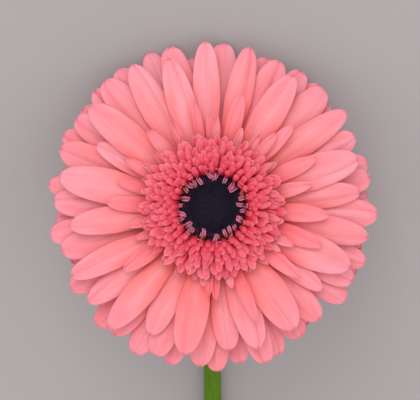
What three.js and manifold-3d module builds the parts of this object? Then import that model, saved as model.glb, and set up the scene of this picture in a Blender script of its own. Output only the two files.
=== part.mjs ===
// A cut gerbera lying on a table, in millimetres, +Z up.
// The stem lies along -Y. Its neck bends up to the head, which rests on the tips of its lowest florets,
// and the face looks up and away from the stem. The origin is at the middle of the footprint.
//
// The head is built in a frame of its own: +Z along its axis, out of the face, with 0 at the top of the
// receptacle, and azimuths clockwise from its +Y as one looks at the face. Its +Y side is the one that
// rests on the table.
import * as THREE from "three";
import { mergeVertices } from "three/addons/utils/BufferGeometryUtils.js";
import Module from "manifold-3d";

const wasm = await Module();
wasm.setup();

// ---- Driving dimensions ----
const HEAD_RADIUS = 56.5; // to the tips of the longest florets
const HEAD_TILT = 30; // degrees that the face leans from straight up
const GAP = 0.35; // between pieces that grow against each other
const TURNED_SIDES = 36; // of the round pieces in the head

const DISC_RADIUS = 9.8;
const DISC_HEIGHT = 4.75;
const DISC_BEVEL = 1.6;
const DISC_CROWN = 0.4; // rise of its top towards the middle

const LEDGE = 0.8; // of the receptacle round the disc, where the small florets stand
const RECEPTACLE_RADIUS = DISC_RADIUS + LEDGE;
const SHOULDER_DROP = 3.4; // from the lowest florets' claws to the receptacle's shoulder
const GOBLET_DEPTH = 8; // from the shoulder down to the stem
const GOBLET_FLARE = 0.8; // past the neck, close above the stem

const LEVELS = 8; // of ray and trans florets, numbered from 0, the lowest
const FLORET_THICKNESS = 0.5;
const CLAW_INSET = 0.1; // of the florets' flat ends in the collar that joins some of them
const CLAW_RADIUS = RECEPTACLE_RADIUS + GAP + CLAW_INSET; // where the florets' limbs start
const CLAW_STEP = FLORET_THICKNESS + GAP; // from each level to the next, at the claws
const RIM_HEIGHT = -9.8; // of level 0 at the head's rim
const RIM_STEP = FLORET_THICKNESS + 1.75; // from each level to the next, at the rim
const ARCH = 3.2; // how far a floret arches over the line from its claw to the rim
const EDGE_SLOPE = 0.12; // of a floret's sides down from its midline at the tip, from none at the claw
const COLLAR_WIDTH = 2.4; // the band that florets of one node share at their claws

const TRANS_RADIUS = 44; // to the tips of the longest trans florets
const SMALL_FLORET_THICKNESS = 0.9;
const BRACT_THICKNESS = 0.7;

const NECK_RADIUS = 2.9;
const STEM_RADIUS = 3.1;
const STEM_END_RADIUS = 3.6;
const STEM_LENGTH = 300; // along the table, from under the middle of the head to the cut
const NECK_REACH = 52; // along the table, to where the stem touches down
const STEM_BOW = 9; // how far the stem swings sideways between its ends

// Ray florets by level, the highest first: [azimuth, how far it falls short of the rim, span].
// Azimuths and spans are in degrees, and florets of one level don't meet unless they share a node.
const RAY_LEVELS = [
  { level: 5, row: "front", florets: [
    [31.5, 4.8, 17], [71.5, 5.2, 19], [113.5, 6.2, 20], [146, 7.2, 20], [191, 6.2, 18], [220.5, 3.5, 15.5],
    [244, 3.8, 14], [262.5, 8.2, 16], [281.5, 4.1, 19], [309.5, 3.1, 17], [343.5, 4.5, 15.5] ] },
  { level: 4, row: "front", florets: [
    [357.5, 0.7, 14], [13, 1.4, 14], [54.5, 1.4, 15], [84, 6.9, 15], [101, 3.1, 15], [127, 10.3, 13],
    [162, 6.5, 17], [206, 8.9, 16.5], [232.5, 3.8, 15], [298.5, 12.3, 13.5], [330.5, 1.4, 16] ] },
  { level: 3, row: "middle", florets: [
    [24.5, 2.4, 15], [43.5, 1.8, 15], [63.5, 2.8, 14], [92.5, 0.7, 15], [118, 3.1, 14], [136.5, 4.1, 14],
    [173.5, 7.9, 14], [201, 2.8, 14], [218, 1.8, 14], [254, 3.5, 14.5], [272, 2.8, 15], [291, 1.4, 15],
    [319.5, 0.4, 15] ] },
  { level: 2, row: "middle", florets: [
    [4, 1.1, 14], [79.5, 2.1, 14], [110, 1.4, 13], [125, 1.4, 13], [146, 3.5, 15], [161, 0.7, 13],
    [184.5, 2.4, 14], [208, 0.4, 14], [240, 1.1, 14], [260, 0.7, 13], [278, 0.4, 13], [303, 1.4, 14],
    [325.5, 0, 14], [345, 0.4, 14] ] },
  { level: 1, row: "back", florets: [
    [33.5, 1.4, 14], [48.5, 3.8, 13], [74, 1.8, 14], [105, 4, 14], [156, 1.4, 13], [178.5, 0.7, 13],
    [195, 1.1, 13], [224, 0.4, 14], [249, 5, 14], [296, 0.1, 13], [314.5, 0, 13], [337.5, 0, 13] ] },
  { level: 0, row: "back", florets: [
    [20, 2.5, 14], [41.5, 1.1, 14], [63, 6, 14], [86, 3.5, 14], [115, 2.6, 14], [141, 5, 14],
    [170, 2.8, 14], [213, 6, 14], [235, 6, 14], [265, 2.8, 14], [285, 6, 14], [307, 0.9, 14],
    [328, 5, 14], [352, 5.2, 14] ] },
];

// Trans florets, the short straps between the rays and the small florets, in the same form.
const TRANS_LEVELS = [
  { level: 6, florets: [
    [14.5, 5.2, 11], [44.5, 5.8, 10.5], [64.5, 6, 11.5], [77, 10.4, 11], [94, 5, 12.5], [109.5, 5.4, 12.5],
    [129, 6.6, 11], [159, 3.2, 9], [178, 13, 8], [208, 18, 11], [234.5, 7.6, 12], [248, 16, 9],
    [272.5, 8.6, 12], [285, 11, 9], [298.5, 10, 9], [320, 10.6, 11], [334.5, 12, 8], [350, 8.4, 7] ] },
  { level: 7, florets: [
    [358, 12.4, 7], [3, 13.6, 8], [20.5, 15.8, 8], [33, 15, 8], [41, 11.4, 9], [55, 18, 9],
    [115.5, 14.4, 9], [123, 17, 8], [136, 17.4, 9], [150, 19.2, 10], [166.5, 16.2, 9], [182.5, 14.6, 8],
    [187, 17.4, 9], [194, 19, 9], [222, 18.4, 9], [257.5, 15, 9], [292, 18.6, 9], [302, 16.8, 8],
    [313, 17, 9], [336, 18, 10] ] },
];

// Rings of small florets around the disc, the lowest first: reach is past the disc's edge, rise is from
// root to tip, and a notch is the share of the limb that is cut between two teeth.
const SMALL_FLORET_RINGS = [
  { name: "inner_florets_outer", reach: 13.6, rise: 5.1, teeth: 32, notch: 0.35 },
  { name: "inner_florets_middle", reach: 10, rise: 5.8, teeth: 28, notch: 0.4 },
  { name: "inner_florets_inner", reach: 6.4, rise: 5.9, teeth: 24, notch: 0.45 },
  { name: "open_disc_florets", reach: 2.4, rise: 4.4, teeth: 20, notch: 0.6 },
];

// Rows of bracts around the receptacle, the inner first: spread is past the florets' claws.
const BRACT_ROW_DROP = 2; // from each row's tips to the next
const BRACT_ROWS = [
  { name: "inner_bracts", spread: 6.4, teeth: 18, notch: 0.8 },
  { name: "outer_bracts", spread: 4.2, teeth: 16, notch: 0.8 },
];

// ---- Materials ----
function living(name, color) {
  return new THREE.MeshStandardMaterial({ name, color, roughness: 0.6, metalness: 0 });
}
const RAY_PINK = living("ray_petal", 0xf6808c);
const TRANS_PINK = living("trans_petal", 0xf06878);
const INNER_PINK = living("inner_petal", 0xe8505f);
const DISC_DARK = living("disc_bud", 0x1f1a26);
const BRACT_GREEN = living("bract_green", 0x5a7f34);
const STEM_GREEN = living("stem_green", 0x4b6c16);

// ---- Florets ----

// Height of a level at a radius: the levels fan out towards the rim, and arch over on the way.
function levelHeight(level, radius) {
  const outward = (radius - CLAW_RADIUS) / (HEAD_RADIUS - CLAW_RADIUS);
  const claw = CLAW_STEP * (level - LEVELS);
  const rim = RIM_HEIGHT + RIM_STEP * level;
  return THREE.MathUtils.lerp(claw, rim, outward) + ARCH * Math.sin(Math.PI * outward);
}

// Half the width of a floret at a share of its length: it fills its span up to its widest, and its tip
// is blunt and round.
const WIDEST_AT = 0.64;
const TIP_SHARE = 0.24; // of the widest, left at the very tip
const TIP_BLUNTNESS = 2.4; // 2 is an ellipse
function halfWidth(along, reach, span) {
  const radius = THREE.MathUtils.lerp(CLAW_RADIUS, reach, Math.min(along, WIDEST_AT));
  const filled = radius * Math.tan(THREE.MathUtils.degToRad(span / 2));
  const pastWidest = Math.max(0, (along - WIDEST_AT) / (1 - WIDEST_AT));
  return filled * Math.max(TIP_SHARE, (1 - pastWidest ** TIP_BLUNTNESS) ** (1 / TIP_BLUNTNESS));
}

// A floret's limb: a box divided along its length and its midline, laid on its level and trimmed to the
// outline.
function strap([azimuth, short, span], tipRadius, level, segments) {
  const limb = new THREE.BoxGeometry(1, 1, 1, segments, 2, 1);
  const reach = tipRadius - short;
  const p = limb.getAttribute("position");
  for (let i = 0; i < p.count; i++) {
    const along = 1 - (0.5 - p.getX(i)) ** 2; // closer together towards the tip
    const radius = THREE.MathUtils.lerp(CLAW_RADIUS, reach, along);
    const side = 2 * p.getY(i) * halfWidth(along, reach, span);
    const hang = EDGE_SLOPE * Math.abs(side) * along;
    p.setXYZ(i, radius, side, levelHeight(level, radius) - hang + p.getZ(i) * FLORET_THICKNESS);
  }
  return limb.rotateZ(Math.PI / 2 - THREE.MathUtils.degToRad(azimuth));
}

// A profile of [radius, height] points turned round the head's axis.
function turned(profile, segments) {
  const points = profile.map(([radius, height]) => new THREE.Vector2(radius, height));
  return new THREE.LatheGeometry(points, segments).rotateX(Math.PI / 2);
}

function toSolid(geometry) {
  geometry.deleteAttribute("normal");
  geometry.deleteAttribute("uv");
  const merged = mergeVertices(geometry);
  const vertProperties = new Float32Array(merged.getAttribute("position").array);
  const triVerts = new Uint32Array(merged.index.array);
  return new wasm.Manifold(new wasm.Mesh({ numProp: 3, vertProperties, triVerts }));
}

function toGeometry(solid) {
  const { vertProperties, triVerts } = solid.getMesh();
  const geometry = new THREE.BufferGeometry();
  geometry.setAttribute("position", new THREE.BufferAttribute(vertProperties, 3));
  geometry.setIndex(new THREE.BufferAttribute(triVerts, 1));
  return geometry;
}

// Florets of two or more levels as one solid, with a collar round the receptacle that joins their claws.
function joinedFlorets(levels, tipRadius, segments) {
  const numbers = levels.map(({ level }) => level);
  const [low, high] = [Math.min(...numbers), Math.max(...numbers)];
  const outer = CLAW_RADIUS + COLLAR_WIDTH;
  const inner = CLAW_RADIUS - CLAW_INSET;
  const bottom = (radius) => [radius, levelHeight(low, radius) - FLORET_THICKNESS / 2];
  const top = (radius) => [radius, levelHeight(high, radius) + FLORET_THICKNESS / 2];
  const section = [bottom(inner), bottom(outer), top(outer), top(inner), bottom(inner)];
  let solid = toSolid(turned(section, TURNED_SIDES));
  for (const { level, florets } of levels) {
    for (const floret of florets) solid = solid.add(toSolid(strap(floret, tipRadius, level, segments)));
  }
  return toGeometry(solid);
}

// A thin skirt round the axis along a path of [radius, height] points, its edge cut into teeth.
function toothedSkirt(path, thickness, teeth, notch) {
  const under = path.map(([r, h]) => [r, h - thickness / 2]);
  const over = path.map(([r, h]) => [r, h + thickness / 2]).reverse();
  const profile = [...under, ...over, under[0]];
  const skirt = turned(profile, 2 * teeth);
  const [tip, neck] = [path.at(-1), path.at(-2)];
  const radius = THREE.MathUtils.lerp(tip[0], neck[0], notch);
  const height = THREE.MathUtils.lerp(tip[1], neck[1], notch);
  const p = skirt.getAttribute("position");
  for (let column = 1; column < 2 * teeth; column += 2) {
    const angle = (Math.PI * column) / teeth;
    const edge = column * profile.length + path.length - 1;
    p.setXYZ(edge, radius * Math.sin(angle), -radius * Math.cos(angle), height - thickness / 2);
    p.setXYZ(edge + 1, radius * Math.sin(angle), -radius * Math.cos(angle), height + thickness / 2);
  }
  return skirt;
}

// ---- The head ----
const head = new THREE.Group();
function addToHead(name, geometry, material) {
  const mesh = new THREE.Mesh(geometry, material.clone());
  mesh.name = name;
  head.add(mesh);
}

const RAY_SEGMENTS = 6;
const TRANS_SEGMENTS = 3;
for (const row of ["front", "middle"]) {
  const levels = RAY_LEVELS.filter((l) => l.row === row);
  const placed = levels.flatMap(({ level, florets }) => florets.map((floret) => ({ level, floret })));
  placed.sort((a, b) => a.floret[0] - b.floret[0]);
  placed.forEach(({ level, floret }, i) => {
    const name = `ray_${row}_${String(i + 1).padStart(2, "0")}`;
    addToHead(name, strap(floret, HEAD_RADIUS, level, RAY_SEGMENTS), RAY_PINK);
  });
}
const backLevels = RAY_LEVELS.filter((l) => l.row === "back");
addToHead("back_ray_florets", joinedFlorets(backLevels, HEAD_RADIUS, RAY_SEGMENTS), RAY_PINK);
addToHead("trans_florets", joinedFlorets(TRANS_LEVELS, TRANS_RADIUS, TRANS_SEGMENTS), TRANS_PINK);

// Small florets: the lowest ring stands on the receptacle, and each next one on the ring below.
const ringRoot = DISC_RADIUS + GAP;
const BEND_AT = 0.5; // of the reach, where the limbs turn outwards
const BEND_RISE = 0.62; // of the rise
SMALL_FLORET_RINGS.forEach(({ name, reach, rise, teeth, notch }, i) => {
  const root = GAP + SMALL_FLORET_THICKNESS / 2 + i * (SMALL_FLORET_THICKNESS + GAP);
  const bend = [ringRoot + BEND_AT * reach, root + BEND_RISE * rise];
  const path = [[ringRoot, root], bend, [ringRoot + reach, root + rise]];
  addToHead(name, toothedSkirt(path, SMALL_FLORET_THICKNESS, teeth, notch), INNER_PINK);
});

const discTop = GAP + DISC_HEIGHT;
const disc = turned(
  [
    [0, GAP],
    [DISC_RADIUS - DISC_BEVEL / 2, GAP],
    [DISC_RADIUS, GAP + DISC_BEVEL],
    [DISC_RADIUS - DISC_BEVEL, discTop - DISC_CROWN],
    [0, discTop],
  ],
  TURNED_SIDES,
);
addToHead("disc_buds", disc, DISC_DARK);

// The receptacle, a goblet on the neck of the stem.
const shoulder = levelHeight(0, CLAW_RADIUS) - SHOULDER_DROP;
const gobletBottom = shoulder - GOBLET_DEPTH;
const goblet = [
  [NECK_RADIUS + GOBLET_FLARE, gobletBottom + 2 * GOBLET_FLARE],
  [RECEPTACLE_RADIUS - GOBLET_FLARE, THREE.MathUtils.lerp(shoulder, gobletBottom, 0.4)],
  [RECEPTACLE_RADIUS, shoulder],
];
const receptacle = turned(
  [[0, gobletBottom], [NECK_RADIUS, gobletBottom], ...goblet, [RECEPTACLE_RADIUS, 0], [0, 0]],
  TURNED_SIDES,
);
addToHead("receptacle", receptacle, BRACT_GREEN);

// Bracts hug the goblet and spread under the lowest florets.
BRACT_ROWS.forEach(({ name, spread, teeth, notch }, row) => {
  const off = GAP + BRACT_THICKNESS / 2 + row * (BRACT_THICKNESS + GAP);
  const tip = CLAW_RADIUS + spread;
  const underFlorets = levelHeight(0, tip) - FLORET_THICKNESS / 2 - GAP - BRACT_ROW_DROP * row;
  // Stepping out and down alike clears both the goblet's steep wall and the florets above.
  const step = 0.8 * off;
  const path = [...goblet, [tip, underFlorets]].map(([r, h]) => [r + step, h - step]);
  addToHead(name, toothedSkirt(path, BRACT_THICKNESS, teeth, notch), BRACT_GREEN);
});

// Tip the head back onto its lowest florets.
const tilt = THREE.MathUtils.degToRad(HEAD_TILT);
head.rotation.x = -tilt;
head.updateMatrixWorld(true);
head.position.z = -new THREE.Box3().setFromObject(head, true).min.z;

// ---- The stem ----

// Its centreline: down from the receptacle, round the neck and along the table.
class StemLine extends THREE.Curve {
  constructor(top, down) {
    super();
    const drop = (top.z - STEM_RADIUS) / -down.z;
    const touchDown = new THREE.Vector3(top.x, -NECK_REACH, STEM_RADIUS);
    const beforeTouchDown = touchDown.clone().setY(drop - NECK_REACH);
    this.neck = new THREE.CubicBezierCurve3(
      top,
      top.clone().addScaledVector(down, 0.75 * drop),
      beforeTouchDown,
      touchDown,
    );
    const neckLength = this.neck.getLength();
    this.neckShare = neckLength / (neckLength + STEM_LENGTH - NECK_REACH);
  }

  // Radius at t, from 0 at the head to 1 at the cut.
  radius(t) {
    if (t < this.neckShare) return THREE.MathUtils.lerp(NECK_RADIUS, STEM_RADIUS, t / this.neckShare);
    return THREE.MathUtils.mapLinear(t, this.neckShare, 1, STEM_RADIUS, STEM_END_RADIUS);
  }

  getPoint(t, target = new THREE.Vector3()) {
    if (t < this.neckShare) return this.neck.getPoint(t / this.neckShare, target);
    const run = (t - this.neckShare) / (1 - this.neckShare);
    const swing = STEM_BOW * Math.sin(Math.PI * run ** 2) ** 2; // straight at first, then out and back
    return target.set(swing, -THREE.MathUtils.lerp(NECK_REACH, STEM_LENGTH, run), this.radius(t));
  }
}

// A round bar along the line, from a cylinder divided along its length.
function barAlong(line, sides, rings) {
  const bar = new THREE.CylinderGeometry(1, 1, 1, sides, rings);
  const p = bar.getAttribute("position");
  const [point, along] = [new THREE.Vector3(), new THREE.Vector3()];
  const [across, up] = [new THREE.Vector3(), new THREE.Vector3()];
  for (let i = 0; i < p.count; i++) {
    const t = 0.5 - p.getY(i);
    line.getTangent(t, along);
    across.set(1, 0, 0).addScaledVector(along, -along.x).normalize();
    up.crossVectors(along, across);
    line.getPoint(t, point);
    point.addScaledVector(across, p.getX(i) * line.radius(t));
    point.addScaledVector(up, p.getZ(i) * line.radius(t));
    p.setXYZ(i, point.x, point.y, point.z);
  }
  return bar;
}

const down = new THREE.Vector3(0, -Math.sin(tilt), -Math.cos(tilt));
const stemTop = head.position.clone().addScaledVector(down, GAP - gobletBottom);
const STEM_SIDES = 12;
const STEM_RINGS = 32;
const stem = new THREE.Mesh(barAlong(new StemLine(stemTop, down), STEM_SIDES, STEM_RINGS), STEM_GREEN);
stem.name = "stem";

// ---- The flower, with its origin at the middle of its footprint ----
const flower = new THREE.Group();
flower.add(head, stem);
flower.updateMatrixWorld(true);
const extent = new THREE.Box3().setFromObject(flower, true);
const middle = extent.getCenter(new THREE.Vector3());
flower.position.set(-middle.x, -middle.y, -extent.min.z);

export default flower;
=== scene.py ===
"""The looks of a cut gerbera lying on a table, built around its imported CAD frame.

Shapes are worked out in millimetres and become metres when a mesh is made. The head has a frame of its own:
Z along its axis, out of the face, with 0 at the top of the receptacle, and azimuths clockwise from its Y as
one looks at the face. Its Y side is the one that rests on the table.
"""

import math

import bpy
import numpy as np
from mathutils import Matrix, Vector


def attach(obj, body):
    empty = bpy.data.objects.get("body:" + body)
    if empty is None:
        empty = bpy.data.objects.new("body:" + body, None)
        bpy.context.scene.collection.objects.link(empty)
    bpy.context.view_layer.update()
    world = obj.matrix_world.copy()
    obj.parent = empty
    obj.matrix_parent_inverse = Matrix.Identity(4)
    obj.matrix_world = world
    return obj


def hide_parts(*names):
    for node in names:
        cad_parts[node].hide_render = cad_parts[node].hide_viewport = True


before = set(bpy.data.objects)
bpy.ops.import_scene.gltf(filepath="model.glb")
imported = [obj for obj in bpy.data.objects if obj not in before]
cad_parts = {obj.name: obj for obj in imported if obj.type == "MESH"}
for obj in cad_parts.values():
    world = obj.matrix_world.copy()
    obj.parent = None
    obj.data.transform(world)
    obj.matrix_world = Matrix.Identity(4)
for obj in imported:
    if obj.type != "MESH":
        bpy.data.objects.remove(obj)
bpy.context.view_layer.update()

MM = 0.001
TABLE_GAP = 0.02  # how far above the table the lowest points stay
PRESS_FROM = 0.4  # the height below which a floret is pressed flat
random = np.random.default_rng(1914)

# ---- Sizes shared with the CAD source, in millimetres and degrees ----
HEAD_RADIUS = 56.5
HEAD_TILT = 30
GAP = 0.35
DISC_RADIUS = 9.8
RECEPTACLE_RADIUS = 10.6
SHOULDER_DROP = 3.4
GOBLET_DEPTH = 8
GOBLET_FLARE = 0.8
LEVELS = 8
FLORET_THICKNESS = 0.5
CLAW_RADIUS = RECEPTACLE_RADIUS + GAP + 0.1
CLAW_STEP = FLORET_THICKNESS + GAP
RIM_HEIGHT = -9.8
RIM_STEP = 2.25
ARCH = 3.2
EDGE_SLOPE = 0.12
TRANS_RADIUS = 44
BRACT_THICKNESS = 0.7
NECK_RADIUS = 2.9
STEM_RADIUS = 3.1
STEM_END_RADIUS = 3.6
STEM_LENGTH = 300
NECK_REACH = 52
STEM_BOW = 9

# Florets by level, the highest first: [azimuth, how far it falls short of the rim, span].
RAY_LEVELS = [
    ("front", 5, [
        [31.5, 4.8, 17], [71.5, 5.2, 19], [113.5, 6.2, 20], [146, 7.2, 20], [191, 6.2, 18], [220.5, 3.5, 15.5],
        [244, 3.8, 14], [262.5, 8.2, 16], [281.5, 4.1, 19], [309.5, 3.1, 17], [343.5, 4.5, 15.5]]),
    ("front", 4, [
        [357.5, 0.7, 14], [13, 1.4, 14], [54.5, 1.4, 15], [84, 6.9, 15], [101, 3.1, 15], [127, 10.3, 13],
        [162, 6.5, 17], [206, 8.9, 16.5], [232.5, 3.8, 15], [298.5, 12.3, 13.5], [330.5, 1.4, 16]]),
    ("middle", 3, [
        [24.5, 2.4, 15], [43.5, 1.8, 15], [63.5, 2.8, 14], [92.5, 0.7, 15], [118, 3.1, 14], [136.5, 4.1, 14],
        [173.5, 7.9, 14], [201, 2.8, 14], [218, 1.8, 14], [254, 3.5, 14.5], [272, 2.8, 15], [291, 1.4, 15],
        [319.5, 0.4, 15]]),
    ("middle", 2, [
        [4, 1.1, 14], [79.5, 2.1, 14], [110, 1.4, 13], [125, 1.4, 13], [146, 3.5, 15], [161, 0.7, 13],
        [184.5, 2.4, 14], [208, 0.4, 14], [240, 1.1, 14], [260, 0.7, 13], [278, 0.4, 13], [303, 1.4, 14],
        [325.5, 0, 14], [345, 0.4, 14]]),
    ("back", 1, [
        [33.5, 1.4, 14], [48.5, 3.8, 13], [74, 1.8, 14], [105, 4, 14], [156, 1.4, 13], [178.5, 0.7, 13],
        [195, 1.1, 13], [224, 0.4, 14], [249, 5, 14], [296, 0.1, 13], [314.5, 0, 13], [337.5, 0, 13]]),
    ("back", 0, [
        [20, 2.5, 14], [41.5, 1.1, 14], [63, 6, 14], [86, 3.5, 14], [115, 2.6, 14], [141, 5, 14],
        [170, 2.8, 14], [213, 6, 14], [235, 6, 14], [265, 2.8, 14], [285, 6, 14], [307, 0.9, 14],
        [328, 5, 14], [352, 5.2, 14]]),
]
TRANS_LEVELS = [
    (6, [
        [14.5, 5.2, 11], [44.5, 5.8, 10.5], [64.5, 6, 11.5], [77, 10.4, 11], [94, 5, 12.5], [109.5, 5.4, 12.5],
        [129, 6.6, 11], [159, 3.2, 9], [178, 13, 8], [208, 18, 11], [234.5, 7.6, 12], [248, 16, 9],
        [272.5, 8.6, 12], [285, 11, 9], [298.5, 10, 9], [320, 10.6, 11], [334.5, 12, 8], [350, 8.4, 7]]),
    (7, [
        [358, 12.4, 7], [3, 13.6, 8], [20.5, 15.8, 8], [33, 15, 8], [41, 11.4, 9], [55, 18, 9],
        [115.5, 14.4, 9], [123, 17, 8], [136, 17.4, 9], [150, 19.2, 10], [166.5, 16.2, 9], [182.5, 14.6, 8],
        [187, 17.4, 9], [194, 19, 9], [222, 18.4, 9], [257.5, 15, 9], [292, 18.6, 9], [302, 16.8, 8],
        [313, 17, 9], [336, 18, 10]]),
]

# ---- The head's frame ----
TILT = math.radians(HEAD_TILT)
HEAD_X = np.array([1.0, 0.0, 0.0])
HEAD_Y = np.array([0.0, math.cos(TILT), -math.sin(TILT)])
HEAD_Z = np.array([0.0, math.sin(TILT), math.cos(TILT)])
HEAD_AXES = np.stack([HEAD_X, HEAD_Y, HEAD_Z])


def head_origin():
    """The middle of the receptacle's top, from the disc that stands a gap above it."""
    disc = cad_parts["disc_buds"].data.vertices
    points = np.array([v.co for v in disc]) / MM @ HEAD_AXES.T
    middle = (points.min(0) + points.max(0)) / 2
    middle[2] = points[:, 2].min() - GAP
    return middle @ HEAD_AXES


ORIGIN = head_origin()


def to_world(points):
    """Points in the head's frame, in the row's frame."""
    return points @ HEAD_AXES + ORIGIN


def smooth(x, low, high):
    t = np.clip((x - low) / (high - low), 0, 1)
    return t * t * (3 - 2 * t)


def lerp(a, b, t):
    return a + (b - a) * t


def outward(azimuth):
    a = math.radians(azimuth)
    return np.array([math.sin(a), math.cos(a), 0.0])


def sideways(azimuth):
    a = math.radians(azimuth)
    return np.array([-math.cos(a), math.sin(a), 0.0])


def turns(sides):
    """Angles of so many points round a circle."""
    return np.linspace(0, 2 * math.pi, sides, endpoint=False)


def circle(radius, height, turn):
    """Points round the head's axis."""
    return np.stack([radius * np.cos(turn), radius * np.sin(turn), np.full(len(turn), height)], 1)


# ---- Meshes ----
class Pile:
    """Closed shells that make one piece, with the numbers that its material reads at each point."""

    def __init__(self):
        self.points = []
        self.faces = []
        self.layers = {}
        self.count = 0

    def add(self, points, faces, **layers):
        """points is (n, 3), faces are rows of point numbers, and each layer is one number or one per point."""
        self.points.append(points)
        for face in faces:
            self.faces.append(tuple(int(i) + self.count for i in face))
        for name, value in layers.items():
            self.layers.setdefault(name, []).append(np.broadcast_to(value, len(points)))
        self.count += len(points)

    def piece(self, name, node, slot, material):
        """The shells as one object that stands for a CAD node."""
        mesh = bpy.data.meshes.new(name)
        mesh.from_pydata(np.concatenate(self.points) * MM, [], self.faces)
        mesh.polygons.foreach_set("use_smooth", np.ones(len(self.faces), bool))
        for layer, values in self.layers.items():
            attribute = mesh.attributes.new(layer, "FLOAT", "POINT")
            attribute.data.foreach_set("value", np.concatenate(values).astype(np.float32))
        mesh.materials.append(material)
        mesh.update()
        made = bpy.data.objects.new(name, mesh)
        bpy.context.scene.collection.objects.link(made)
        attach(made, "root")
        if node:
            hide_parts(node)


def sheet_faces(n, m):
    """Faces of a closed sheet: a grid of n by m points above, the same grid below, and the border between."""
    top = np.arange(n * m).reshape(n, m)
    low = top + n * m
    quads = [np.stack([top[:-1, :-1], top[1:, :-1], top[1:, 1:], top[:-1, 1:]], -1).reshape(-1, 4)]
    quads.append(np.stack([low[:-1, :-1], low[:-1, 1:], low[1:, 1:], low[1:, :-1]], -1).reshape(-1, 4))
    quads.append(np.stack([top[:-1, 0], low[:-1, 0], low[1:, 0], top[1:, 0]], -1))
    quads.append(np.stack([top[:-1, -1], top[1:, -1], low[1:, -1], low[:-1, -1]], -1))
    quads.append(np.stack([top[0, :-1], top[0, 1:], low[0, 1:], low[0, :-1]], -1))
    quads.append(np.stack([top[-1, :-1], low[-1, :-1], low[-1, 1:], top[-1, 1:]], -1))
    return np.concatenate(quads)


def sheet_normals(grid):
    normals = np.cross(np.gradient(grid, axis=0), np.gradient(grid, axis=1))
    return normals / np.maximum(np.linalg.norm(normals, axis=-1, keepdims=True), 1e-9)


def add_sheet(pile, grid, thickness, along, across, tone, crease=0.0, fold=0.0, shaded=0.5):
    """A closed sheet around a grid of points, (n, m, 3) in the head's frame. crease is how far each point is
    from the line of its fold, fold how strongly painted shade darkens that line, and shaded how strongly
    painted shade colours its sides where its neighbours cover them."""
    n, m = grid.shape[:2]
    half = sheet_normals(grid) * np.broadcast_to(thickness, (n, m))[..., None] / 2
    points = np.concatenate([(grid + half).reshape(-1, 3), (grid - half).reshape(-1, 3)])
    under = np.repeat([0.0, 1.0], n * m)

    def twice(values):
        return np.tile(np.broadcast_to(values, (n, m)).ravel(), 2)

    pile.add(
        rest_on_table(to_world(points)), sheet_faces(n, m),
        along=twice(along[:, None]), across=twice(across[None, :]), tone=tone, under=under,
        crease=twice(crease), fold=fold, shaded=shaded,
    )


def rest_on_table(points):
    """Points that would dip under the table are pressed flat on it, keeping a sheet's thickness."""
    pressed = points.copy()
    height = points[:, 2]
    room = PRESS_FROM - TABLE_GAP
    flat = TABLE_GAP + room * np.exp((np.minimum(height, PRESS_FROM) - PRESS_FROM) / room)
    pressed[:, 2] = np.where(height < PRESS_FROM, flat, height)
    return pressed


def tube_faces(rings, sides):
    """Faces of a closed bar: rings of points, then a point at its first end and one at its last."""
    faces = []
    for i in range(rings - 1):
        for j in range(sides):
            k = (j + 1) % sides
            faces.append((i * sides + j, i * sides + k, (i + 1) * sides + k, (i + 1) * sides + j))
    first, last = rings * sides, rings * sides + 1
    for j in range(sides):
        k = (j + 1) % sides
        faces.append((first, k, j))
        faces.append((last, (rings - 1) * sides + j, (rings - 1) * sides + k))
    return faces


def bar_points(line, radii, sides, ridge=None):
    """Points of a round bar along a line of points, for tube_faces."""
    tangents = np.gradient(line, axis=0)
    tangents /= np.linalg.norm(tangents, axis=1, keepdims=True)
    guide = np.array([1.0, 0.0, 0.0]) if abs(tangents[0][0]) < 0.9 else np.array([0.0, 1.0, 0.0])
    rings = []
    turn = turns(sides)
    for i, (point, tangent) in enumerate(zip(line, tangents)):
        across = guide - tangent * (guide @ tangent)
        across /= np.linalg.norm(across)
        up = np.cross(tangent, across)
        guide = across
        reach = radii[i] * (1 if ridge is None else ridge[i])
        rings.append(point + np.outer(np.cos(turn) * reach, across) + np.outer(np.sin(turn) * reach, up))
    return np.concatenate(rings + [line[:1], line[-1:]])


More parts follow.
